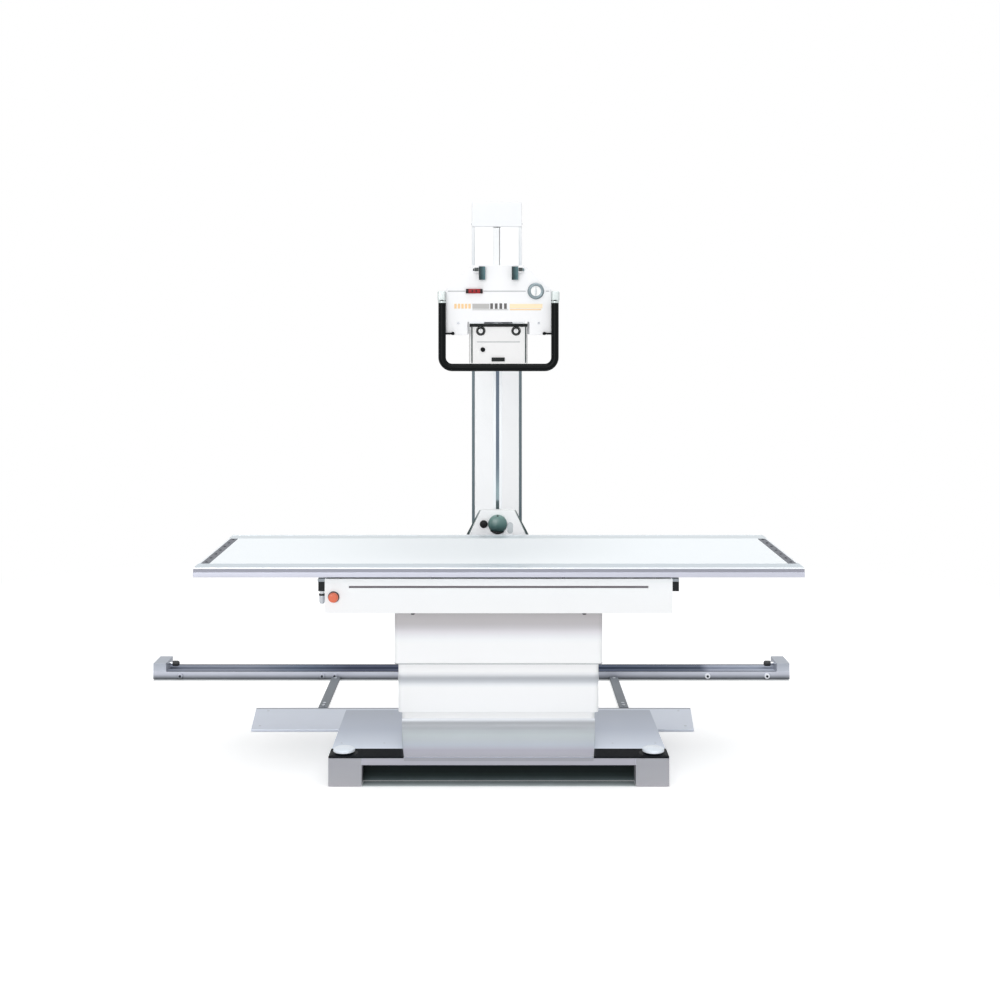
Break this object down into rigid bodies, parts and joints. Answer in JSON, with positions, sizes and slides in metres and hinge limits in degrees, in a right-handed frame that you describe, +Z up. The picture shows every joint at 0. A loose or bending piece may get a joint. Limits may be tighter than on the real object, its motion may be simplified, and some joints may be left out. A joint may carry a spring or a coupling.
{
  "type": "radiography table with tube column",
  "caption": "Floating radiography table on a lifting pedestal, tied to a floor rail whose sliding column carries a tilting tube head on an arm.",
  "frame": {"origin": "on the floor, under the middle of the whole object's box", "axes": "+X along the table and the floor rail, +Y from the operator's side towards the column, +Z up"},
  "size_m": [3, 1.78, 2.25],
  "materials": {
    "deck_metal": "satin",
    "foot_paint": "satin",
    "white_cover": "satin",
    "apron_metal": "satin",
    "step_rubber": "gloss",
    "lift_steel": "satin",
    "plate_metal": "satin",
    "tie_paint": "satin",
    "rail_aluminium": "satin",
    "bumper_rubber": "matte",
    "switch_plastic": "gloss",
    "ram_aluminium": "satin",
    "frame_paint": "satin",
    "guide_black": "satin",
    "stop_red": "gloss",
    "lock_chrome": "gloss",
    "bucky_case": "matte",
    "bracket_paint": "satin",
    "knob_green": "satin",
    "float_aluminium": "satin",
    "top_laminate": "satin",
    "edge_aluminium": "satin",
    "end_strip_grey": "satin",
    "carriage_iron": "satin",
    "column_aluminium": "satin",
    "weight_iron": "matte",
    "arm_carriage_paint": "satin",
    "arm_steel": "satin",
    "rod_aluminium": "satin",
    "housing_aluminium": "satin",
    "head_cover": "satin",
    "dial_face": "gloss",
    "needle_steel": "satin",
    "bar_red": "gloss",
    "handle_black": "satin",
    "button_black": "satin"
  },
  "bodies": {
    "base": {"base_deck": "deck_metal", "left_foot": "foot_paint", "right_foot": "foot_paint", "base_skirt": "white_cover", "front_apron": "apron_metal", "left_step_strip": "step_rubber", "right_step_strip": "step_rubber", "lift_post": "lift_steel", "floor_plate": "plate_metal", "left_tie_bar": "tie_paint", "right_tie_bar": "tie_paint", "floor_rail": "rail_aluminium", "left_rail_bumper": "bumper_rubber", "right_rail_bumper": "bumper_rubber"},
    "left_foot_switch": {"left_foot_switch": "switch_plastic"},
    "right_foot_switch": {"right_foot_switch": "switch_plastic"},
    "middle_cover": {"middle_cover": "white_cover"},
    "table_frame": {"upper_cover": "white_cover", "lift_ram": "ram_aluminium", "frame_tray": "frame_paint", "front_panel": "frame_paint", "left_lateral_guide": "guide_black", "right_lateral_guide": "guide_black", "fulcrum_arm": "bracket_paint", "fulcrum_post": "bracket_paint"},
    "emergency_stop": {"emergency_stop": "stop_red"},
    "lateral_lock_knob": {"lateral_lock_knob": "lock_chrome"},
    "fulcrum_knob": {"fulcrum_knob": "knob_green"},
    "float_frame": {"float_frame": "float_aluminium"},
    "tabletop": {"top_panel": "top_laminate", "front_edge_rail": "edge_aluminium", "rear_edge_rail": "edge_aluminium", "left_end_strip": "end_strip_grey", "right_end_strip": "end_strip_grey"},
    "bucky": {"bucky": "bucky_case"},
    "column": {"rail_carriage": "carriage_iron", "column": "column_aluminium", "column_cap": "white_cover", "front_cable": "lift_steel", "rear_cable": "lift_steel"},
    "brake_knob": {"brake_knob": "knob_green"},
    "pulley": {"pulley": "lift_steel"},
    "counterweight": {"counterweight": "weight_iron"},
    "arm_carriage": {"arm_carriage": "arm_carriage_paint"},
    "tube_head": {"arm_tube": "arm_steel", "tomography_rod": "rod_aluminium", "tube_housing": "housing_aluminium", "tube_yoke": "housing_aluminium", "upper_hood": "head_cover", "lower_cover": "head_cover", "angle_dial": "dial_face", "grab_handle": "handle_black"},
    "dial_needle": {"dial_needle": "needle_steel"},
    "brake_bar": {"brake_bar": "bar_red"},
    "left_clamp_lever": {"left_clamp_lever": "knob_green"},
    "right_clamp_lever": {"right_clamp_lever": "knob_green"},
    "collimator": {"collimator_body": "head_cover"},
    "left_collimator_knob": {"left_collimator_knob": "switch_plastic"},
    "right_collimator_knob": {"right_collimator_knob": "switch_plastic"},
    "lamp_button": {"lamp_button": "button_black"}
  },
  "joints": [
    {"name": "column_travel", "type": "slide", "parent": "base", "child": "column", "axis": [1, 0, 0], "range_m": [-0.5, 0.5]},
    {"name": "carriage_height", "type": "slide", "parent": "column", "child": "arm_carriage", "axis": [0, 0, 1], "range_m": [-0.45, 0.2], "deforming": ["front_cable", "rear_cable"]},
    {"name": "counterweight_travel", "type": "slide", "parent": "column", "child": "counterweight", "axis": [0, 0, 1], "range_m": [-0.21, 0.46]},
    {"name": "pulley_turn", "type": "hinge", "parent": "column", "child": "pulley", "pos_m": [0.12, 0.795, 2.184], "axis": [1, 0, 0], "range_deg": [-260, 575]},
    {"name": "head_tilt", "type": "hinge", "parent": "arm_carriage", "child": "tube_head", "pos_m": [0.12, -0.49, 1.778], "axis": [0, 1, 0], "range_deg": [-28, 28]},
    {"name": "needle_swing", "type": "hinge", "parent": "tube_head", "child": "dial_needle", "pos_m": [0.26, -0.67, 1.8], "axis": [0, 1, 0], "range_deg": [-28, 28]},
    {"name": "bucky_travel", "type": "slide", "parent": "table_frame", "child": "bucky", "axis": [1, 0, 0], "range_m": [-0.081, 0.081]},
    {"name": "brake_knob_turn", "type": "hinge", "parent": "column", "child": "brake_knob", "pos_m": [0.12, 0.68, 0.104], "axis": [0, 1, 0], "range_deg": [-90, 90]},
    {"name": "brake_bar_press", "type": "slide", "parent": "tube_head", "child": "brake_bar", "axis": [0, 1, 0], "range_m": [0, 0.003], "stiffness_N_per_m": 1200, "springref_m": -0.003},
    {"name": "left_lever_flip", "type": "hinge", "parent": "tube_head", "child": "left_clamp_lever", "pos_m": [0.0585, -0.675, 1.88], "axis": [-1, 0, 0], "range_deg": [0, 90]},
    {"name": "right_lever_flip", "type": "hinge", "parent": "tube_head", "child": "right_clamp_lever", "pos_m": [0.1815, -0.675, 1.88], "axis": [-1, 0, 0], "range_deg": [0, 90]},
    {"name": "collimator_swivel", "type": "hinge", "parent": "tube_head", "child": "collimator", "pos_m": [0.12, -0.49, 1.678], "axis": [0, 0, 1], "range_deg": [-45, 45]},
    {"name": "left_field_turn", "type": "hinge", "parent": "collimator", "child": "left_collimator_knob", "pos_m": [0.053, -0.605, 1.65], "axis": [0, 1, 0], "range_deg": [-60, 60]},
    {"name": "right_field_turn", "type": "hinge", "parent": "collimator", "child": "right_collimator_knob", "pos_m": [0.187, -0.605, 1.65], "axis": [0, 1, 0], "range_deg": [-60, 60]},
    {"name": "lamp_press", "type": "slide", "parent": "collimator", "child": "lamp_button", "axis": [0, 1, 0], "range_m": [0, 0.0025], "stiffness_N_per_m": 800, "springref_m": -0.002},
    {"name": "table_lift", "type": "slide", "parent": "base", "child": "table_frame", "axis": [0, 0, 1], "range_m": [-0.04, 0.12]},
    {"name": "middle_lift", "type": "slide", "parent": "base", "child": "middle_cover", "axis": [0, 0, 1], "range_m": [-0.021, 0.061]},
    {"name": "top_across", "type": "slide", "parent": "table_frame", "child": "float_frame", "axis": [0, 1, 0], "range_m": [-0.1, 0.1]},
    {"name": "top_along", "type": "slide", "parent": "float_frame", "child": "tabletop", "axis": [1, 0, 0], "range_m": [-0.36, 0.36]},
    {"name": "stop_press", "type": "slide", "parent": "table_frame", "child": "emergency_stop", "axis": [0, 1, 0], "range_m": [0, 0.006], "stiffness_N_per_m": 1500, "springref_m": -0.003},
    {"name": "lateral_lock_turn", "type": "hinge", "parent": "table_frame", "child": "lateral_lock_knob", "pos_m": [-0.5348, -0.725, 0.66], "axis": [0, 0, 1], "range_deg": [0, 90]},
    {"name": "fulcrum_knob_turn", "type": "hinge", "parent": "table_frame", "child": "fulcrum_knob", "pos_m": [0.12, 0.026, 0.828], "axis": [0, 1, 0], "range_deg": [-90, 90]},
    {"name": "left_switch_press", "type": "slide", "parent": "base", "child": "left_foot_switch", "axis": [0, 0, -1], "range_m": [0, 0.005], "stiffness_N_per_m": 2500, "springref_m": -0.003},
    {"name": "right_switch_press", "type": "slide", "parent": "base", "child": "right_foot_switch", "axis": [0, 0, -1], "range_m": [0, 0.005], "stiffness_N_per_m": 2500, "springref_m": -0.003}
  ],
  "couplings": [
    {"joint": "head_tilt", "follows": "column_travel", "rad_per_m": 0.97},
    {"joint": "needle_swing", "follows": "column_travel", "rad_per_m": -0.97},
    {"joint": "bucky_travel", "follows": "column_travel", "ratio": -0.16},
    {"joint": "counterweight_travel", "follows": "carriage_height", "ratio": -1},
    {"joint": "pulley_turn", "follows": "carriage_height", "rad_per_m": -22.075},
    {"joint": "middle_lift", "follows": "table_lift", "ratio": 0.5}
  ]
}
